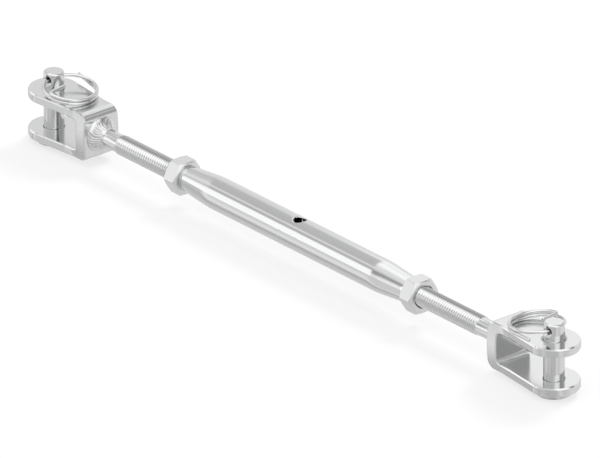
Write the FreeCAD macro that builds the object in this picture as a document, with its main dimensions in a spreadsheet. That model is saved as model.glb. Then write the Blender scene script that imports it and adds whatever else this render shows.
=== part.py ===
import FreeCAD, Part
import math
import os
import re
import Sketcher
from FreeCAD import Placement, Rotation, Vector

# Shroud adjuster for M8 rigging: a tapped tube, a right-hand and a left-hand threaded fork,
# two lock nuts, two clevis pins and two split rings.
# Millimetres. X runs along the tube, Z along the clevis pins, origin at the middle of the tube.

doc = FreeCAD.newDocument("ShroudAdjuster")

# Driving sizes: name, value, what it measures. Angles are in degrees.
drivingSizes = [
    ("tubeLength", 131.2, "end to end"),
    ("tubeDiameter", 13.0, "straight middle of the tube"),
    ("tubeTipDiameter", 10.1, "outside of the tube at its ends"),
    ("tubeTaperLength", 16.6, "cone at each end"),
    ("tubeTaperBlend", 60.0, "radius where straight and cone meet"),
    ("tubeThreadDepth", 20.0, "tapped length at each end"),
    ("tubeReliefDiameter", 9.0, "bore between the two threads"),
    ("crossHoleDiameter", 5.0, "hole for the tommy bar"),
    ("crossHoleEdge", 0.3, "chamfer of that hole"),
    ("edgeBreak", 0.3, "small chamfers and rounds"),
    ("threadDiameter", 8.0, "outside of the M8 thread"),
    ("threadClearance", 0.05, "stud to tapped bore, on the radius"),
    ("threadLeadIn", 0.6, "countersink of the tapped bores"),
    ("studLength", 72.0, "back of the fork to the free end"),
    ("studInsertion", 20.0, "stud inside the tube at rest"),
    ("studTipChamfer", 1.0, "45 degree chamfer at the free end"),
    ("neckDiameter", 7.2, "plain neck between fork and thread"),
    ("neckLength", 11.75, "back of the fork to the thread"),
    ("neckStep", 0.4, "cone from neck to thread"),
    ("nutAcrossFlats", 13.0, "lock nut"),
    ("nutThickness", 6.5, "lock nut"),
    ("nutFaceDiameter", 12.2, "flat ring on each face of the nut"),
    ("nutChamferAngle", 30.0, "chamfer of the hexagon's corners"),
    ("nutGap", 0.05, "lock nut to the tube's end"),
    ("eyeRadius", 10.0, "round end of a prong"),
    ("eyeEdge", 0.4, "chamfer of the pin holes"),
    ("prongThickness", 3.5, "strap at the prongs"),
    ("jawGap", 12.5, "between the prongs"),
    ("forkReach", 28.6, "pin centre to the back of the fork"),
    ("baseThickness", 5.4, "strap across the back"),
    ("baseHalfWidth", 8.6, "strap's widest place, on the back"),
    ("strapTaper", 6.2, "each edge of a prong to the axis"),
    ("waistLength", 5.0, "where the taper swells into the back"),
    ("outerBend", 3.3, "outside of the strap's bends"),
    ("innerBend", 1.8, "inside of the strap's bends"),
    ("weldDiameter", 14.0, "bead round the neck"),
    ("weldLength", 4.6, "bead along the neck"),
    ("weldLip", 0.4, "bead's edge on the fork"),
    ("weldHollow", 6.0, "radius of the bead's hollow side"),
    ("pinDiameter", 8.0, "clevis pin"),
    ("pinClearance", 0.1, "pin to eye, on the radius"),
    ("pinLength", 26.6, "under the head"),
    ("pinHeadDiameter", 13.5, "head"),
    ("pinHeadThickness", 2.5, "head"),
    ("pinTopRound", 0.8, "rounded free end"),
    ("pinSeatGap", 0.05, "head to the lower prong"),
    ("pinHoleDiameter", 3.0, "hole for the split ring"),
    ("pinHoleDrop", 3.0, "hole below the free end"),
    ("pinHoleMouth", 1.0, "countersink of that hole"),
    ("ringWire", 1.4, "split ring's wire"),
    ("ringDiameter", 22.0, "outside"),
    ("ringCoilAngle", 525.0, "angle that the coil covers"),
    ("ringCoilPitch", 1.5, "from one coil to the next"),
    ("ringHookBend", 1.5, "bend at the inner leg"),
    ("ringHookLength", 7.3, "straight inner leg"),
    ("ringTailLength", 10.5, "straight outer leg"),
    ("ringOffset", 0.4, "wire beyond the middle of the pin's hole"),
    ("ringSeatGap", 0.1, "resting coil to the upper prong"),
]

sheet = doc.addObject("Spreadsheet::Sheet", "Sizes")
for row, (name, number, note) in enumerate(drivingSizes, 1):
    sheet.set(f"A{row}", name)
    sheet.set(f"B{row}", str(number))
    sheet.setAlias(f"B{row}", name)
    sheet.set(f"C{row}", note)
doc.recompute()
aliases = {name for name, number, note in drivingSizes}

# Sizes that follow from the driving ones
threadRadius = "threadDiameter/2"
tappedRadius = "(threadDiameter/2 + threadClearance)"
forkHeight = "(jawGap + 2*prongThickness)"
forkBackX = "(tubeLength/2 - studInsertion + studLength)"
eyeX = f"({forkBackX} + forkReach)"
nutX = "(tubeLength/2 + nutGap + nutThickness/2)"
pinShoulderZ = f"(-{forkHeight}/2 - pinSeatGap)"
pinHoleHeight = "(pinLength - pinHoleDrop)"
pinHoleZ = f"({pinShoulderZ} + {pinHoleHeight})"
ringRadius = "((ringDiameter - ringWire)/2)"


def bound(text):
    """The expression with each size's name pointing at its cell."""
    return re.sub(r"[A-Za-z]+", lambda word: "Sizes." + word[0] if word[0] in aliases else word[0], text)


def value(text):
    """The number that an expression gives now."""
    return float(sheet.evalExpression(bound(text)))


def newBody(label):
    body = doc.addObject("PartDesign::Body", label)
    body.Label = label
    return body


def sketchOn(body, role, offset="0"):
    """An empty sketch on one of the body's own origin planes, moved along its normal by offset."""
    sketch = body.newObject("Sketcher::SketchObject", "Sketch")
    plane = next(item for item in body.Origin.OriginFeatures if item.Role == role)
    sketch.AttachmentSupport = [(plane, "")]
    sketch.MapMode = "FlatFace"
    if offset != "0":
        sketch.setExpression("AttachmentOffset.Base.z", bound(offset))
    return sketch


def constrain(sketch, expression, kind, *where):
    """A dimension whose value follows an expression."""
    number = value(expression)
    index = sketch.addConstraint(Sketcher.Constraint(kind, *where, number))
    if expression != "0":
        sketch.setExpression(f"Constraints[{index}]", bound(expression))


def arcBetween(start, end, radius):
    """Arc shorter than half a turn, anticlockwise for a positive radius and clockwise for a negative one."""
    if radius < 0:
        start, end = end, start
    size = abs(radius)
    chord = end - start
    rise = math.sqrt(max(size**2 - (chord.Length / 2) ** 2, 0))
    across = Vector(-chord.y, chord.x, 0).normalize()
    middle = (start + end) / 2 + across * rise
    angles = [math.atan2(point.y - middle.y, point.x - middle.x) for point in (start, end)]
    return Part.ArcOfCircle(Part.Circle(middle, Vector(0, 0, 1), size), *angles)


def addOutline(sketch, corners):
    """Closed outline. A corner is (x, y), or (x, y, radius, sign) where an arc leads on from it."""
    points = [Vector(value(corner[0]), value(corner[1]), 0) for corner in corners]
    first = sketch.GeometryCount
    ends = []
    for i, corner in enumerate(corners):
        here, there = points[i], points[(i + 1) % len(points)]
        if len(corner) == 2:
            sketch.addGeometry(Part.LineSegment(here, there), False)
            ends.append((1, 2))
        else:
            sketch.addGeometry(arcBetween(here, there, corner[3] * value(corner[2])), False)
            ends.append((1, 2) if corner[3] > 0 else (2, 1))
    for i, corner in enumerate(corners):
        after = (i + 1) % len(corners)
        joined = (first + i, ends[i][1], first + after, ends[after][0])
        sketch.addConstraint(Sketcher.Constraint("Coincident", *joined))
        constrain(sketch, corner[0], "DistanceX", first + i, ends[i][0])
        constrain(sketch, corner[1], "DistanceY", first + i, ends[i][0])
        if len(corner) == 4:
            constrain(sketch, corner[2], "Radius", first + i)


def mirrored(corners):
    """The corners in reverse with x negated. An arc stays between the same two corners."""
    arcs = [()] + [corner[2:] for corner in corners]
    return [(f"-({corner[0]})", corner[1], *arc) for corner, arc in reversed(list(zip(corners, arcs)))]


def addCircle(sketch, x, y, diameter):
    circle = Part.Circle(Vector(value(x), value(y), 0), Vector(0, 0, 1), value(diameter) / 2)
    index = sketch.addGeometry(circle, False)
    constrain(sketch, x, "DistanceX", index, 3)
    constrain(sketch, y, "DistanceY", index, 3)
    constrain(sketch, diameter, "Diameter", index)


def feature(body, kind, sketch, **settings):
    """A PartDesign feature made from a sketch."""
    item = body.newObject("PartDesign::" + kind, kind)
    item.Profile = sketch
    for name, setting in settings.items():
        setattr(item, name, setting)
    return item


def finished(body, item):
    """Recomputes the body up to this feature and stops if the feature changed nothing or failed."""
    body.Tip = item
    doc.recompute()
    if set(item.State) & {"Invalid", "Error"} or item.Shape.isNull() or not item.Shape.isValid():
        raise RuntimeError(f"{body.Label}: {item.Name} failed")
    before = item.BaseFeature
    if before and abs(before.Shape.Volume - item.Shape.Volume) < 1e-6:
        raise RuntimeError(f"{body.Label}: {item.Name} changes nothing")
    return item


def turned(body, role, axis, corners):
    """Solid of revolution about the sketch's own axis."""
    sketch = sketchOn(body, role)
    addOutline(sketch, corners)
    item = feature(body, "Revolution", sketch, Angle=360.0)
    item.ReferenceAxis = (sketch, [axis])
    return finished(body, item)


def padded(body, role, length, draw):
    """Pad with its middle on the sketch."""
    sketch = sketchOn(body, role)
    draw(sketch)
    item = feature(body, "Pad", sketch, SideType="Symmetric")
    item.setExpression("Length", bound(length))
    return finished(body, item)


def cutThrough(body, role, draw):
    """Pocket through everything, both ways from the sketch."""
    sketch = sketchOn(body, role)
    draw(sketch)
    item = feature(body, "Pocket", sketch, Type="ThroughAll", SideType="Symmetric")
    return finished(body, item)


def edgesWhere(shape, test):
    """Names of the edges that pass a test."""
    return [f"Edge{i}" for i, edge in enumerate(shape.Edges, 1) if test(edge)]


def dressed(body, kind, sizeName, expression, test):
    """Fillet or chamfer on the edges of the body's tip that pass a test."""
    base = body.Tip
    names = edgesWhere(base.Shape, test)
    if not names:
        raise RuntimeError(f"{body.Label}: no edge for a {kind}")
    item = body.newObject("PartDesign::" + kind, kind)
    item.Base = (base, names)
    item.setExpression(sizeName, bound(expression))
    return finished(body, item)


def isCircle(edge, radius, tolerance=1e-4):
    return isinstance(edge.Curve, Part.Circle) and abs(edge.Curve.Radius - radius) < tolerance


def isRim(edge, width):
    """Whether an edge is the closed rim of a cross hole this wide. Its box is a little larger than the edge."""
    return edge.isClosed() and abs(edge.BoundBox.XLength - width) < 0.02


def place(item, side, x, z="0", tilt=0.0):
    """Sets the piece at side*x, with the right-hand one turned half round about Z."""
    turn = Rotation(Vector(0, 0, 1), 0 if side < 0 else 180)
    item.Placement = Placement(Vector(0, 0, 0), turn.multiply(Rotation(Vector(0, 1, 0), tilt)))
    item.setExpression("Placement.Base.x", bound(f"{side}*{x}"))
    item.setExpression("Placement.Base.z", bound(z))


# Tube: turned outside, tapped right-hand at one end and left-hand at the other, drilled across
def makeTube():
    body = newBody("body_tube")
    end = "tubeLength/2"
    tip = "tubeTipDiameter/2"
    shoulder = "(tubeLength/2 - tubeTaperLength)"
    threadEnd = "(tubeLength/2 - tubeThreadDepth)"
    relief = "tubeReliefDiameter/2"
    reliefStart = f"({threadEnd} - ({relief} - {tappedRadius}))"
    cone = f"atan((tubeDiameter/2 - {tip})/tubeTaperLength)"
    blend = f"tubeTaperBlend*tan({cone}/2)"
    rightHalf = [
        (reliefStart, relief),
        (threadEnd, tappedRadius),
        (f"{end} - threadLeadIn", tappedRadius),
        (end, f"{tappedRadius} + threadLeadIn"),
        (end, f"{tip} - edgeBreak"),
        (f"{end} - edgeBreak", f"{tip} + edgeBreak*tan({cone})"),
        (f"{shoulder} + {blend}*cos({cone})", f"tubeDiameter/2 - {blend}*sin({cone})", "tubeTaperBlend", 1),
        (f"{shoulder} - {blend}", "tubeDiameter/2"),
    ]
    turned(body, "XZ_Plane", "H_Axis", rightHalf + mirrored(rightHalf))
    cutThrough(body, "XY_Plane", lambda sketch: addCircle(sketch, "0", "0", "crossHoleDiameter"))
    hole, inside = value("crossHoleDiameter"), value(relief)
    dressed(body, "Chamfer", "Size", "crossHoleEdge",
            lambda edge: isRim(edge, hole) and abs(edge.BoundBox.Center.z) > inside)
    return body


# Stud: plain neck, thread at its outside diameter, chamfered free end
def makeStud(name, side):
    body = newBody(f"{name}_threaded_stud")
    turned(body, "XZ_Plane", "H_Axis", [
        ("0", "0"),
        ("studLength", "0"),
        ("studLength", f"{threadRadius} - studTipChamfer"),
        ("studLength - studTipChamfer", threadRadius),
        ("neckLength + neckStep", threadRadius),
        ("neckLength", "neckDiameter/2"),
        ("0", "neckDiameter/2"),
    ])
    place(body, side, forkBackX)
    return body


# Weld bead: a hollow-sided ring that joins the neck to the back of the fork
def makeWeld(name, side):
    body = newBody(f"{name}_weld_bead")
    turned(body, "XZ_Plane", "H_Axis", [
        ("0", "neckDiameter/2"),
        ("weldLength", "neckDiameter/2"),
        ("weldLength", "neckDiameter/2 + weldLip", "weldHollow", -1),
        ("weldLip", "weldDiameter/2"),
        ("0", "weldDiameter/2"),
    ])
    place(body, side, forkBackX)
    return body


# Fork: a flat strap bent to a U, with round eyes, tapered prongs and a thicker, swollen back
def makeFork(name, side):
    body = newBody(f"{name}_fork_strap")
    waistEnd = "(forkReach - baseThickness - innerBend)"
    waistStart = f"({waistEnd} - waistLength)"
    half = f"{forkHeight}/2"

    def halfWidth(x):
        return f"(eyeRadius - {x}*sin(strapTaper))/cos(strapTaper)"

    def plan(sketch):
        touchX = "eyeRadius*sin(strapTaper)"
        touchY = "eyeRadius*cos(strapTaper)"
        addOutline(sketch, [
            (touchX, f"-{touchY}"),
            (waistStart, f"-({halfWidth(waistStart)})"),
            (waistStart, halfWidth(waistStart)),
            (touchX, touchY, "eyeRadius", 1),
            ("-eyeRadius", "0", "eyeRadius", 1),
        ])

    def section(x, top, middle):
        """Section across the strap: top is its half width at the faces, middle halfway down."""
        sketch = sketchOn(body, "YZ_Plane", x)
        if middle is None:
            sides = ()
        else:
            rise = f"({middle} - {top})"
            sides = (f"(({half})^2 + {rise}^2)/(2*{rise})", 1)
        addOutline(sketch, [
            (f"-({top})", f"-{half}"),
            (top, f"-{half}", *sides),
            (top, half),
            (f"-({top})", half, *sides),
        ])
        return sketch

    padded(body, "XY_Plane", forkHeight, plan)
    top = f"({halfWidth(waistEnd)})"
    sections = [
        section(waistStart, f"({halfWidth(waistStart)})", None),
        section(waistEnd, top, "baseHalfWidth"),
        section("forkReach", top, "baseHalfWidth"),
    ]
    swell = feature(body, "AdditiveLoft", sections[0], Sections=sections[1:], Ruled=True)
    finished(body, swell)

    def jaw(sketch):
        bottom = "(forkReach - baseThickness)"
        addOutline(sketch, [
            ("-2*eyeRadius", "-jawGap/2"),
            (f"{bottom} - innerBend", "-jawGap/2", "innerBend", 1),
            (bottom, "-jawGap/2 + innerBend"),
            (bottom, "jawGap/2 - innerBend", "innerBend", 1),
            (f"{bottom} - innerBend", "jawGap/2"),
            ("-2*eyeRadius", "jawGap/2"),
        ])

    cutThrough(body, "XZ_Plane", jaw)

    def bends(sketch):
        for sign in (1, -1):
            addOutline(sketch, [
                ("forkReach - outerBend", f"{sign}*{half}", "outerBend", -sign),
                ("forkReach", f"{sign}*({half} - outerBend)"),
                ("forkReach + edgeBreak", f"{sign}*({half} - outerBend)"),
                ("forkReach + edgeBreak", f"{sign}*({half} + edgeBreak)"),
                ("forkReach - outerBend", f"{sign}*({half} + edgeBreak)"),
            ])

    cutThrough(body, "XZ_Plane", bends)
    cutThrough(body, "XY_Plane", lambda sketch: addCircle(sketch, "0", "0", "pinDiameter + 2*pinClearance"))
    hole = value("pinDiameter/2 + pinClearance")
    dressed(body, "Chamfer", "Size", "eyeEdge", lambda edge: isCircle(edge, hole))
    place(body, side, eyeX)
    return body


# Lock nut: hexagon with both faces chamfered, tapped right through
def makeNut(name, side):
    body = newBody(f"{name}_lock_nut")
    corner = "(nutAcrossFlats/2/cos(30))"

    def hexagon(sketch):
        addOutline(sketch, [(f"{corner}*cos({60 * i})", f"{corner}*sin({60 * i})") for i in range(6)])

    padded(body, "YZ_Plane", "nutThickness", hexagon)
    cutThrough(body, "YZ_Plane", lambda sketch: addCircle(sketch, "0", "0", f"2*{tappedRadius}"))
    radius = value(tappedRadius)
    dressed(body, "Chamfer", "Size", "threadLeadIn", lambda edge: isCircle(edge, radius))
    sketch = sketchOn(body, "XZ_Plane")
    outside = f"({corner} + edgeBreak)"
    depth = f"({outside} - nutFaceDiameter/2)*tan(nutChamferAngle)"
    for sign in (1, -1):
        face = f"{sign}*nutThickness/2"
        addOutline(sketch, [
            (face, "nutFaceDiameter/2"),
            (f"{face} - {sign}*{depth}", outside),
            (f"{face} + {sign}*edgeBreak", outside),
            (f"{face} + {sign}*edgeBreak", "nutFaceDiameter/2"),
        ])
    groove = feature(body, "Groove", sketch, Angle=360.0)
    groove.ReferenceAxis = (sketch, ["H_Axis"])
    finished(body, groove)
    place(body, side, nutX)
    return body


# Clevis pin: head down, free end drilled across for the split ring
def makePin(name, side):
    body = newBody(f"{name}_clevis_pin")
    turned(body, "XZ_Plane", "V_Axis", [
        ("0", "-pinHeadThickness"),
        ("pinHeadDiameter/2", "-pinHeadThickness"),
        ("pinHeadDiameter/2", "0"),
        ("pinDiameter/2", "0"),
        ("pinDiameter/2", "pinLength"),
        ("0", "pinLength"),
    ])
    head, shank, end = value("pinHeadDiameter/2"), value("pinDiameter/2"), value("pinLength")
    dressed(body, "Fillet", "Radius", "edgeBreak", lambda edge: isCircle(edge, head))
    dressed(body, "Fillet", "Radius", "pinTopRound",
            lambda edge: isCircle(edge, shank) and abs(edge.Curve.Center.z - end) < 1e-4)
    cutThrough(body, "XZ_Plane", lambda sketch: addCircle(sketch, "0", pinHoleHeight, "pinHoleDiameter"))
    hole = value("pinHoleDiameter")
    dressed(body, "Chamfer", "Size", "pinHoleMouth", lambda edge: isRim(edge, hole))
    place(body, side, eyeX, pinShoulderZ)
    return body


# Split ring: one and a half coils of wire with a straight leg at each end.
# Its own origin is the middle of the pin's cross hole, and the coil lies towards +X.
def ringPath():
    radius = value(ringRadius)
    pitch = value("ringCoilPitch")
    turn = value("ringCoilAngle")
    middle = Vector(radius - value("ringOffset"), 0, 0)
    height = pitch * turn / 360
    coil = Part.makeHelix(pitch, height, radius, 0, True)
    coil.Placement = Placement(middle - Vector(0, 0, height / 2), Rotation(Vector(0, 0, 1), turn / 2 - 180))
    slope = math.atan(pitch / (2 * math.pi * radius))

    def frameAt(angle, z):
        """Point of the coil, its forward direction (clockwise from above and rising) and the inward one."""
        outward = Vector(math.cos(angle), math.sin(angle), 0)
        along = Vector(math.sin(angle), -math.cos(angle), 0) * math.cos(slope)
        along.z = math.sin(slope)
        return middle + outward * radius + Vector(0, 0, z), along, -outward

    half = math.radians(turn / 2 - 180)
    start, along, inward = frameAt(half, -height / 2)
    tail = Part.LineSegment(start - along * value("ringTailLength"), start)
    finish, along, inward = frameAt(-half, height / 2)
    bend = value("ringHookBend")
    centre = finish + inward * bend
    halfway = centre + (along - inward).normalize() * bend
    corner = centre + along * bend
    hook = Part.Arc(finish, halfway, corner)
    leg = Part.LineSegment(corner, corner + inward * value("ringHookLength"))
    return Part.Wire([tail.toShape(), *coil.Edges, hook.toShape(), leg.toShape()])


def makeRing(name, side):
    path = doc.addObject("Part::Feature", f"{name}_ring_path")
    path.Shape = ringPath()
    first = path.Shape.OrderedEdges[0]
    section = doc.addObject("Part::Circle", f"{name}_ring_wire")
    section.setExpression("Radius", bound("ringWire/2"))
    start = first.valueAt(first.FirstParameter)
    section.Placement = Placement(start, Rotation(Vector(0, 0, 1), first.tangentAt(first.FirstParameter)))
    ring = doc.addObject("Part::Sweep", f"{name}_split_ring")
    ring.Label = f"{name}_split_ring"
    ring.Sections = [section]
    ring.Spine = (path, [f"Edge{i}" for i in range(1, len(path.Shape.Edges) + 1)])
    ring.Solid = True
    drop = f"({pinHoleZ} - {forkHeight}/2 - ringWire/2 - ringCoilPitch/2 - ringSeatGap)"
    tilt = math.degrees(math.asin(value(f"{drop}/(2*{ringRadius} - ringOffset)")))
    place(ring, side, eyeX, pinHoleZ, tilt)
    return ring


pieces = [makeTube()]
for name, side in (("left", -1), ("right", 1)):
    pieces += [make(name, side) for make in (makeFork, makeStud, makeWeld, makeNut, makePin, makeRing)]
doc.recompute()

for item in doc.Objects:
    if set(item.State) & {"Invalid", "Error"}:
        raise RuntimeError(f"{item.Label} did not recompute: {item.State}")
for piece in pieces:
    if piece.Shape.isNull() or not piece.Shape.isValid() or len(piece.Shape.Solids) != 1:
        raise RuntimeError(f"{piece.Label} is not one valid solid")

os.makedirs("parts", exist_ok=True)
for piece in pieces:
    piece.Shape.exportStep(f"parts/{piece.Label}.step")
    print(f"{piece.Label}: {piece.Shape.Volume:.1f} mm3")
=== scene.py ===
import math

import bmesh
import bpy
import numpy as np
from mathutils import Matrix, Vector


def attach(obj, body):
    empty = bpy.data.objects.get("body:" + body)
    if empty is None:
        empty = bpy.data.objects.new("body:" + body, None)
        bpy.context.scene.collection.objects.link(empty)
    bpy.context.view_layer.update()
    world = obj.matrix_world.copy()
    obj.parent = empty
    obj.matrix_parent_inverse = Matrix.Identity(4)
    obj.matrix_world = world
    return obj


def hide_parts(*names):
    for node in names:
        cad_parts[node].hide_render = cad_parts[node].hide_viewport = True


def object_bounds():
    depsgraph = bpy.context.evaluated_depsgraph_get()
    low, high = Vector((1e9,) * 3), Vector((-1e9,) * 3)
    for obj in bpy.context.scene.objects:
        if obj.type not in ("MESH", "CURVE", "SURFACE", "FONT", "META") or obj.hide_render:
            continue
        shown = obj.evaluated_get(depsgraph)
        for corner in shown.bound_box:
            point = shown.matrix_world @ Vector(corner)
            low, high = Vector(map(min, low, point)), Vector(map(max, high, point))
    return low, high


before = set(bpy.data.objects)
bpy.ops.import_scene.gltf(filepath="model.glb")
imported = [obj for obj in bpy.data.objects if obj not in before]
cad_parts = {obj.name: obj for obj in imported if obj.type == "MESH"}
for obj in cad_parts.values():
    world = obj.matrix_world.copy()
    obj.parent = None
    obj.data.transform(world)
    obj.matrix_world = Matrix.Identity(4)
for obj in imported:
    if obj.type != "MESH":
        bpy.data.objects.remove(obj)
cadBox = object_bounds()
print("frame loaded")

# Sizes are in millimetres, apart from those of the studio. Every piece is worked out for the left end, with
# the middle of the tube at the origin and the fork towards -X. The right end is the same turned half round
# about Z.
millimetre = 0.001
around = 96                               # points round every turned or threaded surface
halfTurn = np.array([-1.0, -1.0, 1.0])    # takes a point half round about Z
turnedOver = np.array([1.0, -1.0, -1.0])  # takes a point half round about X
handOf = {"left": 1, "right": -1}         # right-hand thread at the left end, left-hand at the right one
meshing = {
    "joinedWithin": 2e-6, "sliver": 1e-6,   # metres: points that become one, and edges too short to keep
    "sharpAngle": 32.0,                     # degrees between two faces above which their edge shows
}


def smoothStep(values):
    # 3 t^2 - 2 t^3, with t held between 0 and 1
    held = np.clip(values, 0.0, 1.0)
    return held * held * (3 - 2 * held)


def directions(angles):
    # (cos a, sin a)
    return np.stack([np.cos(angles), np.sin(angles)], axis=-1)


def arcPoints(centre, radius, start, end, count):
    # centre + radius (cos a, sin a), with a from start to end in degrees
    return np.array(centre) + radius * directions(np.radians(np.linspace(start, end, count)))


def ringPoints(x, radius, angles):
    # (x, radius cos a, radius sin a)
    x, radius, angles = np.broadcast_arrays(x, radius, angles)
    return np.stack([x, radius * np.cos(angles), radius * np.sin(angles)], axis=-1)


def turnAngles(hand=1):
    # One turn in even steps, forwards for hand 1 and backwards for hand -1
    return hand * np.linspace(0, 2 * math.pi, around + 1)


def turnedSurface(profile, angles):
    # A profile of (x, radius) pairs carried round the X axis: rows follow the profile, columns the angle
    profile = np.asarray(profile, dtype=float)
    return ringPoints(profile[:, :1], profile[:, 1:], angles[None, :])


def lengthsAlong(points):
    # Distance travelled along a line of points
    steps = np.linalg.norm(np.diff(points, axis=0), axis=1)
    return np.concatenate([[0.0], np.cumsum(steps)])


def makePiece(name, grids, side="left", sharpAngle=meshing["sharpAngle"]):
    # Four neighbouring points of a grid make one face. The UV map is the distance travelled down the grid's
    # middle column and along its middle row.
    corners, faces, maps, start = [], [], [], 0
    for points in grids:
        points = np.asarray(points, dtype=float)
        rows, columns = points.shape[:2]
        index = np.arange(rows * columns).reshape(rows, columns) + start
        quads = [index[:-1, :-1], index[:-1, 1:], index[1:, 1:], index[1:, :-1]]
        down = lengthsAlong(points[:, columns // 2])[:, None]
        over = lengthsAlong(points[rows // 2])[None, :]
        maps.append(np.stack(np.broadcast_arrays(down, over), axis=-1).reshape(-1, 2))
        corners.append(points.reshape(-1, 3))
        faces.append(np.stack(quads, axis=-1).reshape(-1, 4))
        start += rows * columns
    corners, faces, maps = np.concatenate(corners), np.concatenate(faces), np.concatenate(maps)
    if side == "right":
        corners = corners * halfTurn
    mesh = bpy.data.meshes.new(name)
    mesh.from_pydata(corners * millimetre, [], faces)
    layer = mesh.uv_layers.new(name="UVMap")
    layer.data.foreach_set("uv", maps[faces.ravel()].astype(np.float32).ravel())
    work = bmesh.new()
    work.from_mesh(mesh)
    bmesh.ops.remove_doubles(work, verts=work.verts, dist=meshing["joinedWithin"])
    bmesh.ops.dissolve_degenerate(work, edges=work.edges, dist=meshing["sliver"])
    bmesh.ops.recalc_face_normals(work, faces=work.faces)
    openEdges = sum(not edge.is_manifold for edge in work.edges)
    work.to_mesh(mesh)
    work.free()
    mesh.shade_smooth()
    mesh.set_sharp_from_angle(angle=math.radians(sharpAngle))
    piece = bpy.data.objects.new(name, mesh)
    bpy.context.scene.collection.objects.link(piece)
    print(f"{name}: {len(mesh.polygons)} faces, {openEdges} open edges")
    return piece


def settle(piece, body, slot, node):
    piece.data.materials.append(finishes[slot])
    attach(piece, body)
    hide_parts(node)


class Field:
    # A number that varies over a surface. Arithmetic on it adds Math nodes.
    def __init__(self, tree, socket):
        self.tree = tree
        self.socket = socket

    def math(self, operation, *values):
        node = self.tree.nodes.new("ShaderNodeMath")
        node.operation = operation
        for slot, item in zip(node.inputs, values):
            if isinstance(item, Field):
                self.tree.links.new(item.socket, slot)
            else:
                slot.default_value = item
        return Field(self.tree, node.outputs[0])

    def __add__(self, other):
        return self.math("ADD", self, other)

    def __sub__(self, other):
        return self.math("SUBTRACT", self, other)

    def __rsub__(self, other):
        return self.math("SUBTRACT", other, self)

    def __mul__(self, other):
        return self.math("MULTIPLY", self, other)

    def __truediv__(self, other):
        return self.math("DIVIDE", self, other)

    def __pow__(self, other):
        return self.math("POWER", self, other)

    __radd__ = __add__
    __rmul__ = __mul__


class NodeTree:
    # The nodes of one material or of the world
    def __init__(self, owner):
        owner.use_nodes = True
        self.tree = owner.node_tree
        self.tree.nodes.clear()

    def add(self, kind, settings=None, output=0, **values):
        # A node of this kind: its settings first, then the values or links of its sockets. A socket goes by
        # its name, or by n and its number.
        node = self.tree.nodes.new(kind)
        for key, setting in (settings or {}).items():
            if key == "stops":
                while len(node.color_ramp.elements) < len(setting):
                    node.color_ramp.elements.new(1.0)
                for element, (position, shade) in zip(node.color_ramp.elements, setting):
                    element.position = position
                    element.color = (shade, shade, shade, 1.0)
            else:
                setattr(node, key, setting)
        for key, item in values.items():
            slot = node.inputs[int(key[1:]) if key[1:].isdigit() else key.replace("_", " ")]
            if isinstance(item, Field):
                self.tree.links.new(item.socket, slot)
            else:
                slot.default_value = item
        return Field(self.tree, node.outputs[output]) if len(node.outputs) else None

    def parts(self, vector):
        # X, Y and Z of a vector
        node = self.add("ShaderNodeSeparateXYZ", Vector=vector).socket.node
        return [Field(self.tree, socket) for socket in node.outputs]

    def ray(self, kind):
        # 1 for a ray of this kind, 0 for any other
        node = self.add("ShaderNodeLightPath").socket.node
        return Field(self.tree, node.outputs[kind])

    def rise(self, item, low, high):
        # 0 below low, 1 above high, smooth between
        smooth = {"interpolation_type": "SMOOTHSTEP"}
        return self.add("ShaderNodeMapRange", smooth, Value=item, From_Min=low, From_Max=high)

    def noise(self, place, stretch, detail):
        # Noise about 0, with so many waves to a metre along X, Y and Z
        scaled = self.add("ShaderNodeMapping", Vector=place, Scale=stretch)
        solid = {"noise_dimensions": "3D"}
        return self.add("ShaderNodeTexNoise", solid, Vector=scaled, Scale=1.0, Detail=detail) - 0.5


def steelFinish(name, look):
    # Roughness = base + grain and smudge noises; colour = base shade with a little of both
    material = bpy.data.materials.new(name)
    nodes = NodeTree(material)
    place = nodes.add("ShaderNodeTexCoord", output="Object")
    grain = nodes.noise(place, look["grain"], look["grainDetail"])
    cloud = nodes.noise(place, look["cloud"], look["cloudDetail"])
    if "rings" in look:
        # Rings left by the lathe on the end faces: noise along sqrt(y^2 + z^2) + lean x
        x, y, z = nodes.parts(place)
        reach = ((y ** 2.0 + z ** 2.0) ** 0.5 + x * look["lean"]) * look["rings"]
        line, detail = {"noise_dimensions": "1D"}, look["ringDetail"]
        groove = nodes.add("ShaderNodeTexNoise", line, W=reach, Scale=1.0, Detail=detail)
        grain = grain * look["grainLeft"] + (groove - 0.5)
    rough = look["rough"] + grain * look["grainRough"] + cloud * look["cloudRough"]
    shade = look["shade"] + grain * look["grainShade"] + cloud * look["cloudShade"]
    red, green, blue = look["tint"]
    colour = nodes.add("ShaderNodeCombineColor", Red=shade * red, Green=shade * green, Blue=shade * blue)
    depth = look["bumpDepth"] * millimetre
    bump = nodes.add("ShaderNodeBump", Strength=look["bump"], Distance=depth, Height=grain)
    shader = nodes.add("ShaderNodeBsdfPrincipled", Base_Color=colour, Metallic=1.0, Roughness=rough,
                       Normal=bump)
    nodes.add("ShaderNodeOutputMaterial", Surface=shader)
    return material


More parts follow.
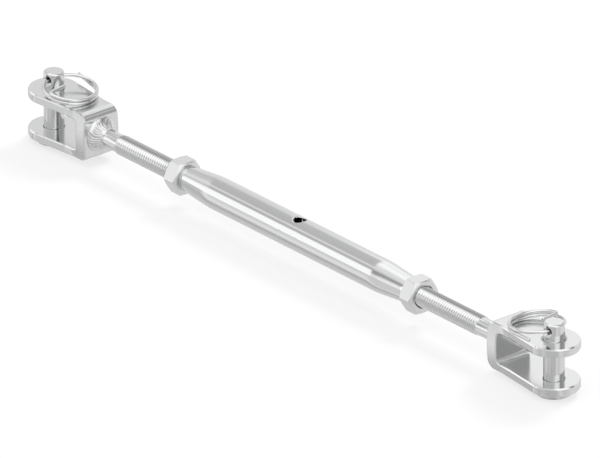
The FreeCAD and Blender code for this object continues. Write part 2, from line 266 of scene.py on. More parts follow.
plain = {
    "grain": (60.0, 4500.0, 4500.0), "cloud": (45.0, 90.0, 90.0),   # waves to a metre
    "grainDetail": 3.0, "cloudDetail": 2.0,
    "rough": 0.12, "grainRough": 0.08, "cloudRough": 0.05,
    "shade": 0.74, "grainShade": 0.05, "cloudShade": 0.03,
    "tint": (0.995, 1.0, 1.0), "bump": 0.10, "bumpDepth": 0.02,
}
looks = {
    "polished_tube": plain | {"rough": 0.09},
    "polished_strap": plain | {"grain": (900.0, 900.0, 900.0), "rough": 0.15, "bump": 0.08},
    "threaded_rod": plain | {"grain": (500.0, 3000.0, 3000.0), "rough": 0.13, "shade": 0.76},
    "weld_metal": plain | {"grain": (1500.0, 1500.0, 1500.0), "cloud": (300.0, 300.0, 300.0), "rough": 0.13,
                           "cloudShade": 0.10, "shade": 0.72, "bump": 0.2},
    "machined_nut": plain | {"rings": 5200.0, "ringDetail": 2.0, "lean": 0.7, "grainLeft": 0.3,
                             "rough": 0.28, "grainRough": 0.10, "shade": 0.75, "bump": 0.12},
    "turned_pin": plain | {"grain": (2500.0, 2500.0, 80.0), "rough": 0.12},
    "spring_wire": plain | {"grain": (900.0, 900.0, 900.0), "rough": 0.13},
}
finishes = {slot: steelFinish(slot, look) for slot, look in looks.items()}
print("finishes made")

thread = {
    "radius": 4.0, "pitch": 1.25, "depth": 0.767,
    "crestRound": 0.06, "rootRound": 0.12,   # softness of crest and root
    "perPitch": 10,                          # points from one root to the next
}


def threadRadius(x, angles, hand):
    # At a distance d from the nearest crest the flank has fallen by sqrt(3) (d - pitch / 16), held between
    # 0 and the depth. Each bound is rounded: max(a, 0) becomes (a + sqrt(a^2 + s^2)) / 2, s its softness.
    pitch = thread["pitch"]
    phase = (x / pitch - hand * angles / (2 * math.pi)) % 1.0
    fall = (np.abs(phase - 0.5) * pitch - pitch / 16) * math.sqrt(3)
    fall = 0.5 * (fall + np.sqrt(fall ** 2 + thread["crestRound"] ** 2))
    over = fall - thread["depth"]
    fall = fall - 0.5 * (over + np.sqrt(over ** 2 + thread["rootRound"] ** 2))
    return thread["radius"] - np.maximum(fall, 0)


def helixGrid(start, end, hand):
    # Rows climb with the helix: x = pitch (turns + k), held between start and end. Two turns more than the
    # length needs cover both ends.
    pitch = thread["pitch"]
    turns = math.ceil((end - start) / pitch) + 2
    angles = np.linspace(0, 2 * math.pi * turns, around * turns + 1)[None, :]
    steps = np.linspace(0, 1, thread["perPitch"] + 1)[:, None]
    x = pitch * (math.floor(start / pitch) - 1 + angles / (2 * math.pi) + steps)
    x = np.clip(x, start, end)
    return x, np.broadcast_to(hand * angles, x.shape)


tube = {
    "halfLength": 65.6, "radius": 6.5, "tipRadius": 5.05, "taper": 16.6, "blend": 60.0, "tipRound": 0.3,
    "threadDepth": 20.0, "tapped": 4.05, "clearance": 0.1, "crest": 3.36, "leadIn": 0.6, "runOut": 1.2,
    "relief": 4.5, "reliefRow": 25.0,   # radius of the relief, and how far out it has a row of points
    "hole": 2.5, "holeRound": 0.5,
    "patch": 6.0, "patchEase": 1.3,     # half width of the band round the hole; over 1 draws its rows in
    "patchRows": 12, "borePatchRows": 6, "patchColumns": 12, "lipRows": 6, "wallRows": 5,
    "tipRows": 6, "coneRows": 10, "blendRows": 14, "middleRows": 16,
}


def tubeProfile():
    # From the tip along the cone, round the blend arc and down the straight middle
    end, tip, big = tube["halfLength"], tube["tipRadius"], tube["radius"]
    shoulder = end - tube["taper"]
    cone = math.atan((big - tip) / tube["taper"])
    tangent = tube["blend"] * math.tan(cone / 2)
    soft, steep = tube["tipRound"], 90 + math.degrees(cone)
    lip = arcPoints((-end + soft, tip + soft * math.tan(cone) - soft), soft, 180, steep, tube["tipRows"])
    start = (-shoulder - tangent * math.cos(cone), big - tangent * math.sin(cone))
    slope = np.linspace(lip[-1], start, tube["coneRows"])[1:-1]
    arc = arcPoints((-shoulder + tangent, big - tube["blend"]), tube["blend"], steep, 90, tube["blendRows"])
    along = np.linspace(-shoulder + tangent, -tube["patch"], tube["middleRows"])[1:]
    straight = np.stack([along, np.full(along.size, big)], axis=-1)
    return np.concatenate([lip, slope, arc, straight])


def patchBorder():
    # Closed line of (x, angle) round half of the tube's middle band, from angle 0 to half a turn
    half = tube["patch"]
    turn = turnAngles()[:around // 2 + 1]
    line = np.linspace(half, -half, tube["patchColumns"] + 1)
    near = np.stack([np.full(turn.size, half), turn], axis=-1)
    far = np.stack([line, np.full(line.size, math.pi)], axis=-1)
    return np.concatenate([near[:-1], far[:-1], near[:0:-1] * [-1, 1], far[::-1] * [1, 0]])


def holeFacing():
    # Directions from the hole's middle to the points of that line, on the outside of the tube laid flat
    border = patchBorder()
    return np.arctan2((border[:, 1] - math.pi / 2) * tube["radius"], border[:, 0])


def holePatch(radius, rim, rows):
    # Straight lines in (x, angle) from the hole's rim, where x^2 + y^2 = rim^2, to the border of the band
    facing = holeFacing()
    rimAngle = math.pi / 2 + np.arcsin(rim * np.sin(facing) / radius)
    edge = np.stack([rim * np.cos(facing), rimAngle], axis=-1)
    share = (np.linspace(0, 1, rows) ** tube["patchEase"])[:, None, None]
    place = edge[None] * (1 - share) + patchBorder()[None] * share
    return ringPoints(place[..., 0], radius, place[..., 1])


def holeWall():
    # Down the hole, from the rounded rim on the outside to the rim on the bore
    outer, bore, hole, soft = tube["radius"], tube["relief"], tube["hole"], tube["holeRound"]
    facing = holeFacing()
    turn = np.linspace(0, math.pi / 2, tube["lipRows"])[:, None]
    radius = hole + soft * (1 - np.sin(turn))
    y = radius * np.sin(facing)
    z = np.sqrt(outer ** 2 - y ** 2) - soft * (1 - np.cos(turn))
    lip = np.stack([radius * np.cos(facing), -y, z], axis=-1)
    y = hole * np.sin(facing)
    foot = np.stack([hole * np.cos(facing), -y, np.sqrt(bore ** 2 - y ** 2)], axis=-1)
    share = np.linspace(0, 1, tube["wallRows"])[1:, None, None]
    return np.concatenate([lip, lip[-1:] * (1 - share) + foot[None] * share])


def tubeEnd(hand):
    # Outside, end face, tapped bore and relief of one end
    angles = turnAngles(hand)
    end, inner = tube["halfLength"], tube["halfLength"] - tube["threadDepth"]
    profile = tubeProfile()
    mouth = tube["tapped"] + tube["leadIn"]
    x, turn = helixGrid(-end, -inner, hand)
    cut = np.maximum(threadRadius(x, turn, hand) + tube["clearance"], tube["crest"])
    cut += (tube["tapped"] - cut) * smoothStep(1 + (x + inner) / tube["runOut"])
    bore = ringPoints(x, np.maximum(cut, mouth - (x + end)), turn)
    deep = tube["relief"]
    relief = [(-inner, tube["tapped"]), (-inner + (deep - tube["tapped"]), deep), (-tube["reliefRow"], deep),
              (-tube["patch"], deep)]
    return [turnedSurface(profile, angles), turnedSurface([(-end, mouth), profile[0]], angles), bore,
            turnedSurface(relief, angles)]


nearHole = [holePatch(tube["radius"], tube["hole"] + tube["holeRound"], tube["patchRows"]),
            holePatch(tube["relief"], tube["hole"], tube["borePatchRows"]), holeWall()]
tubeGrids = tubeEnd(1) + [grid * halfTurn for grid in tubeEnd(-1)]
tubeGrids += nearHole + [grid * turnedOver for grid in nearHole]
settle(makePiece("tube_tapped", tubeGrids), "tube", "polished_tube", "body_tube")

stud = {
    "back": -117.6, "length": 72.0, "neck": 3.6, "neckLength": 11.75, "tip": 1.0,
    "fadeIn": 1.1,     # length over which the thread begins
    "endRing": 0.6,    # the flat end has a ring of points at this share of its radius
}


def studGrids(hand):
    # Plain neck, then the thread, held inside a 45 degree cone at the free end
    angles = turnAngles(hand)
    start, end = stud["back"] + stud["neckLength"], stud["back"] + stud["length"]
    x, turn = helixGrid(start, end, hand)
    raised = threadRadius(x, turn, hand) - stud["neck"]
    flat = thread["radius"] - stud["tip"]
    radius = stud["neck"] + raised * smoothStep((x - start) / stud["fadeIn"])
    radius = np.minimum(radius, flat + (end - x))
    neck = turnedSurface([(stud["back"], 0), (stud["back"], stud["neck"]), (start, stud["neck"])], angles)
    tip = turnedSurface([(end, flat), (end, flat * stud["endRing"]), (end, 0)], angles)
    return [neck, ringPoints(x, radius, turn), tip]


weld = {
    "length": 4.8, "radius": 7.0, "hollow": 6.0, "lip": 0.4,
    "seam": 0.05,                            # its edge is this far off the neck, its inside this far in it
    "foot": ((0.12, 0.12), (-0.02, 0.14)),   # x from the fork's back, and radius beyond the rim
    "rows": 30, "finer": 8,                  # so many times the columns of a turned surface
    "ripples": 27, "ripple": 0.20, "bow": 1.2, "sway": 0.5,   # bow and sway count in ripples
    "skew": 0.6, "lowered": 0.6,             # the power that makes a ripple lean, and what is taken off it
    "even": 0.8, "uneven": 0.4,              # the ripples' height is even + uneven times the wander
    "wander": 0.16, "waves": ((0.5, 2, 1), (0.3, 5, 2), (0.2, 11, 3)),   # share, waves in a turn, phase
    "rise": 0.3, "fall": 0.7, "lost": 0.6,   # full from v = rise on; past v = fall a share is lost
}


def weldGrids(seed):
    # A hollow arc between neck and fork carried round, raised along its normal by overlapping crescents on
    # a bead that wanders slowly. A crescent is sin(pi t^skew) - lowered, where t is the fraction of
    # ripples a / 2 pi + bow (2 v - 1)^2 + sway wander, and v runs from 0 at the neck to 1 at the fork.
    back, neck = stud["back"], stud["neck"]
    v = np.linspace(0, 1, weld["rows"])[:, None]
    first = np.array([weld["length"], neck + weld["seam"]])
    chord = np.array([weld["lip"], weld["radius"]]) - first
    size = np.linalg.norm(chord)
    outward = np.array([chord[1], -chord[0]]) / size
    sag = weld["hollow"] - math.sqrt(weld["hollow"] ** 2 - (size / 2) ** 2)
    line = first + chord * v - outward * sag * 4 * v * (1 - v)
    angles = np.linspace(0, 2 * math.pi, weld["finer"] * around + 1)[None, :]
    wander = sum(share * np.sin(waves * angles + phase * seed) for share, waves, phase in weld["waves"])
    beat = weld["ripples"] * angles / (2 * math.pi) + weld["bow"] * (2 * v - 1) ** 2 + weld["sway"] * wander
    crescent = np.sin(math.pi * (beat % 1.0) ** weld["skew"]) - weld["lowered"]
    fading = 1 - weld["lost"] * smoothStep((v - weld["fall"]) / (1 - weld["fall"]))
    hold = smoothStep(v / weld["rise"]) * fading
    height = weld["ripple"] * crescent * (weld["even"] + weld["uneven"] * wander) + weld["wander"] * wander
    height = height * hold
    x, radius = back + line[:, :1] + outward[0] * height, line[:, 1:] + outward[1] * height
    flat = np.zeros_like(angles)
    inside = flat + neck - weld["seam"]
    foot = [(flat + back + down, radius[-1:] + wider) for down, wider in weld["foot"]]
    closing = [(x[-1:], radius[-1:])] + foot
    closing += [(foot[-1][0], inside), (flat + back + weld["length"], inside), (x[:1], radius[:1])]
    under = np.concatenate([ringPoints(place, reach, angles) for place, reach in closing])
    return [ringPoints(x, radius, angles), under]


fork = {
    "eye": -146.2, "eyeRadius": 10.0, "hole": 4.1, "holeEdge": 0.4, "thickness": 3.5, "gap": 12.5,
    "reach": 28.6, "base": 5.4, "baseHalfWidth": 8.6, "taper": math.radians(6.2), "waist": 5.0,
    "outerBend": 3.3, "innerBend": 1.8,
    "edge": 0.3, "edgeDrop": 0.6, "edgeRound": 0.1,   # eased edges of the sides: inset, depth, roundness
    "join": 11.0, "joinBand": 5.0,                    # where the prong's end joins on, and the band past it
    "sharpAngle": 20.0,                               # less than elsewhere, so that the eased edges show
    "across": 16, "edgePoints": 7, "bandPoints": 6, "prongPoints": 9, "bendPoints": 15, "backPoints": 8,
    "sidePoints": 7, "eyePoints": 61, "faceRows": 9, "mouthRows": 5,
}


def strapHalfWidth(x, z):
    # Tapered prong, then over the waist a blend to an arc across the back that is widest at its middle
    sine, cosine = math.sin(fork["taper"]), math.cos(fork["taper"])
    waistEnd = fork["reach"] - fork["base"] - fork["innerBend"]
    waistStart = waistEnd - fork["waist"]
    straight = (fork["eyeRadius"] - np.minimum(x, waistStart) * sine) / cosine
    rise = fork["baseHalfWidth"] - (fork["eyeRadius"] - waistEnd * sine) / cosine
    half = fork["gap"] / 2 + fork["thickness"]
    bulge = (half ** 2 + rise ** 2) / (2 * rise)
    swollen = fork["baseHalfWidth"] - bulge + np.sqrt(bulge ** 2 - np.asarray(z) ** 2)
    return straight + (swollen - straight) * smoothStep((x - waistStart) / fork["waist"])


def strapFace(z, backX, bend):
    # One face of the strap in (x, z): along the upper prong, round the bend, down the back, and the same
    # below. The band next to the join has the same points on both faces.
    bandEnd = fork["join"] + fork["joinBand"]
    band = np.linspace(fork["join"], bandEnd, fork["bandPoints"])
    along = np.concatenate([band, np.linspace(bandEnd, backX - bend, fork["prongPoints"])[1:]])
    upper = np.stack([along, np.full(along.size, z)], axis=-1)
    corner = arcPoints((backX - bend, z - bend), bend, 90, 0, fork["bendPoints"])[1:]
    down = np.linspace(z - bend, 0, fork["backPoints"])[1:]
    back = np.stack([np.full(down.size, backX), down], axis=-1)
    line = np.concatenate([upper, corner, back])
    return np.concatenate([line, line[-2::-1] * [1, -1]])


def edgeProfile(thickness):
    # Across the side of the strap: (inset from the outline, share of the thickness), with both edges cut as
    # a chamfer that is partly rounded to an elliptic quarter
    turn = np.linspace(0, math.pi / 2, fork["edgePoints"])
    straight, rounding = turn * 2 / math.pi, fork["edgeRound"]
    inset = fork["edge"] * (1 - straight + (straight - np.sin(turn)) * rounding)
    drop = fork["edgeDrop"] * (straight + (1 - np.cos(turn) - straight) * rounding)
    share = drop / np.asarray(thickness)[..., None]
    middle = np.full(share.shape[:-1] + (1,), 0.5)
    shares = np.concatenate([share, middle, 1 - share[..., ::-1]], axis=-1)
    return np.concatenate([inset, [0.0], inset[::-1]]), shares


def strapBody():
    # Faces and sides of the bent strap between the two prong ends
    inner = strapFace(fork["gap"] / 2, fork["reach"] - fork["base"], fork["innerBend"])
    outer = strapFace(fork["gap"] / 2 + fork["thickness"], fork["reach"], fork["outerBend"])
    inset, shares = edgeProfile(np.linalg.norm(outer - inner, axis=1))
    place = inner[:, None] * (1 - shares[..., None]) + outer[:, None] * shares[..., None]
    reachY = strapHalfWidth(place[..., 0], place[..., 1]) - inset
    grids = [np.stack([place[..., 0], sign * reachY, place[..., 1]], axis=-1) for sign in (1, -1)]
    spread = np.linspace(-1, 1, fork["across"] + 1)[None, :]
    for face in (inner, outer):
        y = (strapHalfWidth(face[:, 0], face[:, 1]) - fork["edge"])[:, None] * spread
        grids.append(np.stack(np.broadcast_arrays(face[:, :1], y, face[:, 1:]), axis=-1))
    return grids


def prongOutline():
    # Points and outward directions from the join on one side, round the eye, to the join on the other
    taper, radius = fork["taper"], fork["eyeRadius"]
    touch = radius * np.array([math.sin(taper), math.cos(taper)])
    corner = np.array([fork["join"], strapHalfWidth(fork["join"], 0.0)])
    straight = np.linspace(corner, touch, fork["sidePoints"])[:-1]
    eye = directions(np.linspace(math.pi / 2 - taper, 3 * math.pi / 2 + taper, fork["eyePoints"]))
    sideWay = np.tile(touch / radius, (len(straight), 1))
    sideWay[0] = (0, 1)
    points = np.concatenate([straight, radius * eye, straight[::-1] * [1, -1]])
    outward = np.concatenate([sideWay, eye, sideWay[::-1] * [1, -1]])
    return points, outward


def lifted(flat, z):
    # Points (x, y) taken to the height z
    return np.concatenate([flat, np.broadcast_to(z, flat.shape[:2])[..., None]], axis=-1)


def prongEnd():
    # Round end of the upper prong: its side, both faces from the outline in to the eye, and the eye's wall
    low, thick, soft = fork["gap"] / 2, fork["thickness"], fork["holeEdge"]
    points, outward = prongOutline()
    inset, shares = edgeProfile(thick)
    side = lifted(points[:, None] - outward[:, None] * inset[None, :, None], low + thick * shares)
    rim = points - outward * fork["edge"]
    joinY = np.linspace(rim[-1, 1], rim[0, 1], fork["across"] + 1)[1:]
    loop = np.concatenate([rim, np.stack([np.full(joinY.size, fork["join"]), joinY], axis=-1)])
    circle = directions(np.arctan2(loop[:, 1], loop[:, 0]))[None]
    share = np.linspace(0, 1, fork["faceRows"])[:, None, None]
    face = (fork["hole"] + soft) * circle * (1 - share) + loop[None] * share
    turn = np.linspace(0, math.pi / 2, fork["mouthRows"])
    radius = fork["hole"] + soft * (1 - np.sin(turn))
    depth = soft * (1 - np.cos(turn))
    wall = np.concatenate([radius, radius[::-1]])[:, None, None] * circle
    height = np.concatenate([low + depth, (low + thick - depth)[::-1]])[:, None]
    return [side, lifted(face, low), lifted(face, low + thick), lifted(wall, height)]


def strapGrids():
    # The bent strap with the ends of both prongs, moved to its place
    ends = prongEnd()
    grids = strapBody() + ends + [grid * np.array([1.0, 1.0, -1.0]) for grid in ends]
    return [grid + np.array([fork["eye"], 0, 0]) for grid in grids]


nut = {
    "middle": -68.9, "thickness": 6.5, "flats": 13.0, "face": 6.1, "chamfer": math.radians(30),
    "cornerRound": 0.25, "cornerPoints": 5, "mouth": 4.65, "crest": 4.04, "threadDepth": 0.35,
}


def hexagon():
    # One turn of (y, z) round the hexagon, from the middle of a corner: a small arc at each corner, and
    # straight flats between
    soft, count = nut["cornerRound"], nut["cornerPoints"]
    reach = (nut["flats"] / 2 - soft) / math.cos(math.pi / 6)
    turn = np.radians(np.linspace(-30, 30, count))
    line = []
    for i in range(6):
        corner, after = math.radians(60 * i), math.radians(60 * i + 60)
        arc = reach * directions(corner) + soft * directions(corner + turn)
        target = reach * directions(after) + soft * directions(after - math.pi / 6)
        line += [arc, np.linspace(arc[-1], target, around // 6 - count + 2)[1:-1]]
    line = np.roll(np.concatenate(line), -(count // 2), axis=0)
    return np.concatenate([line, line[:1]])


def nutGrids(hand):
    # Tapped bore with a countersink at each face, flat ring, 30 degree chamfer and six flats
    middle, half, mouth, face = nut["middle"], nut["thickness"] / 2, nut["mouth"], nut["face"]
    line = hexagon()
    corner = np.linalg.norm(line, axis=1)
    way = line / corner[:, None]
    angles = turnAngles()
    back = (corner - face) * math.tan(nut["chamfer"])

    def row(x, radius, share):
        # Directions pass from even angles at the bore to the hexagon's own points outside
        mixed = directions(angles) * (1 - share) + way * share
        mixed = mixed / np.linalg.norm(mixed, axis=1)[:, None]
        yz = mixed * np.broadcast_to(radius, angles.shape)[:, None]
        return np.concatenate([np.broadcast_to(x, angles.shape)[:, None], yz], axis=-1)

    between = (mouth + face) / 2
    rows = [row(-half, mouth, 0), row(-half, between, 0.5), row(-half, face, 1)]
    rows += [row(-half + back * share, face + (corner - face) * share, 1) for share in (0.5, 1)]
    for share in (0.25, 0.5, 0.75, 1):
        rows.append(row((-half + back) * (1 - share) + (half - back) * share, corner, 1))
    rows += [row(half - back * share, face + (corner - face) * share, 1) for share in (0.5, 0)]
    rows += [row(half, between, 0.5), row(half, mouth, 0)]
    outside = np.stack(rows) + np.array([middle, 0, 0])
    x, turn = helixGrid(middle - half, middle + half, hand)
    groove = (threadRadius(x, turn, hand) - thread["radius"] + thread["depth"]) / thread["depth"]
    countersink = mouth - (half - np.abs(x - middle))
    radius = np.maximum(nut["crest"] + nut["threadDepth"] * groove, countersink)
    return [outside, ringPoints(x, radius, turn)]


ring = {
    "wire": 0.7, "endRound": 0.35,                      # the wire's radius, and that of the rims at its ends
    "radius": 10.3, "turn": 525.0, "pitch": 1.5,        # the coil, with its turn in degrees
    "hook": 1.5, "hookLength": 7.3, "tail": 10.5,
    "offset": 0.4, "holeZ": 13.8, "drop": 2.5,
    "round": 20,                                        # points round the wire
    "coilPoints": 300, "tailPoints": 12, "hookPoints": 12, "legPoints": 9, "endPoints": 5,
}


def ringPath():
    # Straight tail, helix about Z, arc and straight inner leg, before the ring is tilted towards the prong
    radius, pitch, hook = ring["radius"], ring["pitch"], ring["hook"]
    slope = math.atan(pitch / (2 * math.pi * radius))
    total = math.radians(ring["turn"])
    share = np.linspace(0, 1, ring["coilPoints"])
    angle = math.radians(ring["turn"] / 2 - 180) - total * share
    climb = pitch * total / (2 * math.pi) * (share - 0.5)
    middle = np.array([radius - ring["offset"], 0, 0])
    coil = middle + np.stack([radius * np.cos(angle), radius * np.sin(angle), climb], axis=-1)

    def along(turned):
        # The helix's own direction, clockwise and up
        level = math.cos(slope)
        return np.array([math.sin(turned) * level, -math.cos(turned) * level, math.sin(slope)])

    tail = coil[0] - along(angle[0]) * np.linspace(ring["tail"], 0, ring["tailPoints"])[:-1, None]
    outward = np.array([math.cos(angle[-1]), math.sin(angle[-1]), 0.0])
    turn = np.linspace(0, math.pi / 2, ring["hookPoints"])[1:, None]
    arc = coil[-1] - outward * hook + hook * (outward * np.cos(turn) + along(angle[-1]) * np.sin(turn))
    leg = arc[-1] - outward * np.linspace(0, ring["hookLength"], ring["legPoints"])[1:, None]
    return np.concatenate([tail, coil, arc, leg])


def wireAlong(path, radius):
    # A circle carried along the path, square to it, with a rounded rim and a flat at each end
    ahead = np.gradient(path, axis=0)
    ahead /= np.linalg.norm(ahead, axis=1)[:, None]
    sideways = np.cross(ahead, [0.0, 0.0, 1.0])
    sideways /= np.linalg.norm(sideways, axis=1)[:, None]
    up = np.cross(sideways, ahead)
    turn = np.linspace(0, 2 * math.pi, ring["round"] + 1)[None, :, None]
    circle = np.cos(turn) * sideways[:, None] + np.sin(turn) * up[:, None]
    body = path[:, None] + radius * circle
    soft = ring["endRound"]
    bend = np.linspace(0, math.pi / 2, ring["endPoints"])[1:]
    shrink = np.concatenate([radius - soft + soft * np.cos(bend), [0.0]])[:, None, None]
    reach = np.concatenate([soft * np.sin(bend), [soft]])[:, None, None] - soft
    front = path[0] + circle[0] * shrink - ahead[0] * reach
    last = path[-1] + circle[-1] * shrink + ahead[-1] * reach
    body[0] += ahead[0] * soft
    body[-1] -= ahead[-1] * soft
    return np.concatenate([front[::-1], body, last])


def ringGrids():
    # The wire tilted about Y, so that its far side drops to the prong, and moved to the pin's cross hole
    tilt = math.asin(ring["drop"] / (2 * ring["radius"] - ring["offset"]))
    wire = wireAlong(ringPath(), ring["wire"])
    x = wire[..., 0] * math.cos(tilt) + wire[..., 2] * math.sin(tilt) + fork["eye"]
    z = -wire[..., 0] * math.sin(tilt) + wire[..., 2] * math.cos(tilt) + ring["holeZ"]
    return [np.stack([x, wire[..., 1], z], axis=-1)]


for side, hand in handOf.items():
    pieces = (
        # name, grids, body, slot, node, sharp angle
        ("strap_bent", strapGrids(), "fork", "polished_strap", "fork_strap", fork["sharpAngle"]),
        ("stud_cut", studGrids(hand), "fork", "threaded_rod", "threaded_stud", meshing["sharpAngle"]),
        ("weld_rippled", weldGrids(hand), "fork", "weld_metal", "weld_bead", meshing["sharpAngle"]),
        ("nut_tapped", nutGrids(hand), "nut", "machined_nut", "lock_nut", meshing["sharpAngle"]),
        ("ring_coiled", ringGrids(), "ring", "spring_wire", "split_ring", meshing["sharpAngle"]),
    )
    for name, grids, body, slot, node, sharpAngle in pieces:
        piece = makePiece(f"{side}_{name}", grids, side, sharpAngle)
        settle(piece, f"{side}_{body}", slot, f"{side}_{node}")
    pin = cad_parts[f"{side}_clevis_pin"]
    pin.data.materials.clear()
    pin.data.materials.append(finishes["turned_pin"])
print("pieces made")

# Stretches of the sky's stripes that more than one of its rows has
overTop = ((0, 0.7), (30, 0.72), (46, 0.78), (58, 0.9), (80, 1.0), (90, 0.92), (104, 0.72), (120, 0.72),
           (131, 0.55), (141, 0.28))
fromBehind = ((0, 0.77), (12, 0.72), (28, 0.36))
toFront = ((72, 0.4), (84, 0.76), (94, 1.0), (102, 1.1), (128, 1.1), (136, 0.8), (144, 0.58), (157, 0.56),
           (170, 0.76))
studio = {
    "floorSize": 6.0, "floorShade": 0.86, "floorGlow": 0.7, "floorClear": 0.8,   # size in metres
    "azimuth": 50.0, "elevation": 25.0,              # degrees
    "lens": 1000.0, "sensor": 36.0,                  # millimetres
    "pixels": 2.66, "pictureWidth": 600,             # pixels to a millimetre, and in the picture's width
    "nearClip": 0.1, "farClip": 10,                  # metres, and times the camera's distance
    # Below the horizon the studio is striped by compass: degrees from +X, where -90 is in front
    "ground": ((-180, 0.7), (-162, 0.7), (-152, 0.54), (-146, 0.46), (-141, 0.84), (-138, 1.05),
               (-134, 0.71), (-120, 0.69), (-106, 0.5), (-91, 0.66), (-77, 0.58), (-70, 0.48), (-58, 0.52),
               (-30, 0.47), (-12, 0.8), (5, 0.61), (46, 0.82), (180, 0.7)),
    "groundStrength": 1.0,
    "horizon": 0.02,                                 # half the height of the blend from ground to sky
    # The sky is striped round the X axis. Each row takes over from the one before between two values of a
    # direction's share of X. Its stops are degrees from the horizon behind, over the top, to the front one.
    "sky": (
        (-1.1, -1.0, ((0, 0.7), (40, 0.66), (57, 0.5), (74, 0.56), (90, 0.56), (104, 0.7), (119, 0.75),
                      (131, 0.54), (136, 0.56), (148, 0.95), (160, 1.0), (180, 1.0))),
        (-0.75, -0.72, ((0, 0.7), (36, 0.66), (47, 0.66), (56, 0.5), (104, 0.46), (111, 0.48), (115, 0.7),
                        (122, 0.7), (126, 0.46), (139, 0.46), (145, 1.0), (180, 1.0))),
        (-0.66, -0.64, overTop + ((156, 0.3), (164, 0.74))),
        (-0.55, -0.545, overTop + ((149, 0.4), (153, 1.15), (180, 1.15))),
        (-0.52, -0.4, fromBehind + ((42, 0.36), (46, 0.76), (57, 0.76), (63, 0.3)) + toFront),
        (0.1, 0.2, fromBehind + ((46, 0.34), (60, 0.3)) + toFront),
        (0.41, 0.44, fromBehind + ((39, 0.33), (42, 0.55), (51, 0.55), (56, 0.26)) + toFront),
        (0.6, 0.62, ((0, 0.4), (6, 0.22), (22, 0.22), (32, 0.37), (39, 0.36), (43, 0.25),
                     (60, 0.24)) + toFront),
        (0.79, 0.87, ((0, 1.0), (180, 1.0))),
    ),
    "skyStrength": 1.3,
    "lamps": (
        # name, place in metres, size in metres, watts, seen in the steel or not: the first lights the floor
        ("behind", (-0.2, 1.0, 0.95), 0.5, 11.0, False),
        ("overRightFork", (-0.27, 0.35, 0.27), 0.17, 0.02, True),
    ),
}
lowest, highest = np.array(cadBox)
opaqueWhite = (1.0, 1.0, 1.0, 1.0)


def makeFloor():
    # A matt floor that keeps a soft shadow: partly white to the camera, and partly clear in mirror images,
    # where the studio's stripes show through it
    half, z, shade = studio["floorSize"] / 2, float(lowest[2]), studio["floorShade"]
    mesh = bpy.data.meshes.new("floor")
    corners = [(-half, -half, z), (half, -half, z), (half, half, z), (-half, half, z)]
    mesh.from_pydata(corners, [], [(0, 1, 2, 3)])
    floor = bpy.data.objects.new("floor", mesh)
    bpy.context.scene.collection.objects.link(floor)
    material = bpy.data.materials.new("pale_floor")
    nodes = NodeTree(material)
    matt = nodes.add("ShaderNodeBsdfDiffuse", Color=(shade, shade, shade, 1.0))
    white = nodes.add("ShaderNodeEmission", Color=opaqueWhite, Strength=1.0)
    clear = nodes.add("ShaderNodeBsdfTransparent", Color=opaqueWhite)
    seen = nodes.ray("Is Camera Ray") * studio["floorGlow"]
    mirrored = nodes.ray("Is Glossy Ray") * studio["floorClear"]
    lit = nodes.add("ShaderNodeMixShader", n0=seen, n1=matt, n2=white)
    both = nodes.add("ShaderNodeMixShader", n0=mirrored, n1=lit, n2=clear)
    nodes.add("ShaderNodeOutputMaterial", Surface=both)
    floor.data.materials.append(material)


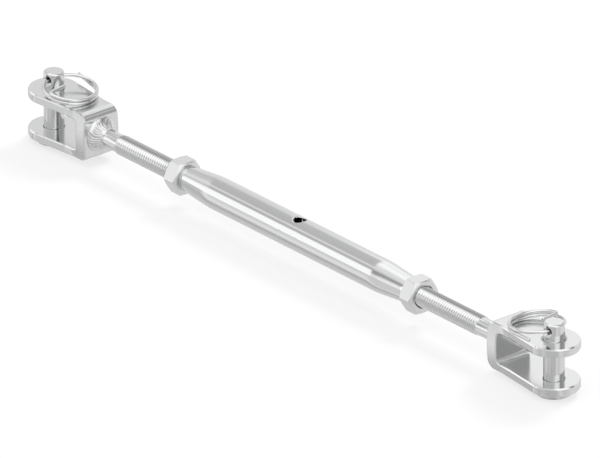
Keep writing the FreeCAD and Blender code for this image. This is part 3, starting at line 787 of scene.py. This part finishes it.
def makeSky():
    # White to the camera. For the rest stripes round the X axis, which change from -X to +X, and the ground
    world = bpy.data.worlds.new("sky")
    bpy.context.scene.world = world
    nodes = NodeTree(world)
    x, y, z = nodes.parts(nodes.add("ShaderNodeTexCoord", output="Generated"))
    turn = z.math("ARCTAN2", z, y) / math.pi
    stripes = (0.0, 0.0, 0.0, 1.0)
    for low, high, row in studio["sky"]:
        stops = [(angle / 180, shade) for angle, shade in row]
        shades = nodes.add("ShaderNodeValToRGB", {"stops": stops}, Fac=turn)
        taken = nodes.rise(x, low, high)
        stripes = nodes.add("ShaderNodeMix", {"data_type": "RGBA"}, 2, n0=taken, n6=stripes, n7=shades)
    sky = nodes.add("ShaderNodeBackground", Color=stripes, Strength=studio["skyStrength"])
    compass = y.math("ARCTAN2", y, x) / (2 * math.pi) + 0.5
    stops = [((angle + 180) / 360, shade) for angle, shade in studio["ground"]]
    shades = nodes.add("ShaderNodeValToRGB", {"stops": stops}, Fac=compass)
    ground = nodes.add("ShaderNodeBackground", Color=shades, Strength=studio["groundStrength"])
    above = nodes.rise(z, -studio["horizon"], studio["horizon"])
    lit = nodes.add("ShaderNodeMixShader", n0=above, n1=ground, n2=sky)
    white = nodes.add("ShaderNodeBackground", Color=opaqueWhite, Strength=1.0)
    both = nodes.add("ShaderNodeMixShader", n0=nodes.ray("Is Camera Ray"), n1=lit, n2=white)
    nodes.add("ShaderNodeOutputWorld", Surface=both)


def makeLamps():
    # Square soft lamps that face the object
    for name, place, size, watts, mirrored in studio["lamps"]:
        light = bpy.data.lights.new(name, "AREA")
        light.shape = "SQUARE"
        light.size = size
        light.energy = watts
        lamp = bpy.data.objects.new(name, light)
        lamp.visible_glossy = mirrored
        lamp.location = place
        lamp.rotation_euler = (-Vector(place)).to_track_quat("-Z", "Y").to_euler()
        bpy.context.scene.collection.objects.link(lamp)


def makeCamera():
    # A very long lens stands in for the drawing's parallel view. It looks at the middle of the CAD's box.
    turn, rise = math.radians(studio["azimuth"]), math.radians(studio["elevation"])
    right = Vector((math.cos(turn), math.sin(turn), 0))
    up = Vector((-math.sin(turn) * math.sin(rise), math.cos(turn) * math.sin(rise), math.cos(rise)))
    back = right.cross(up)
    data = bpy.data.cameras.new("camera")
    data.lens = studio["lens"]
    data.sensor_width = studio["sensor"]
    width = studio["pictureWidth"] / studio["pixels"] * millimetre
    distance = width * data.lens / data.sensor_width
    camera = bpy.data.objects.new("camera", data)
    turned = Matrix((right, up, back)).transposed().to_4x4()
    camera.matrix_world = Matrix.Translation(Vector((lowest + highest) / 2) + back * distance) @ turned
    data.clip_start, data.clip_end = studio["nearClip"], distance * studio["farClip"]
    bpy.context.scene.collection.objects.link(camera)
    bpy.context.scene.camera = camera


makeFloor()
makeSky()
makeLamps()
makeCamera()
bpy.context.scene.view_settings.view_transform = "Standard"
print("scene lit")
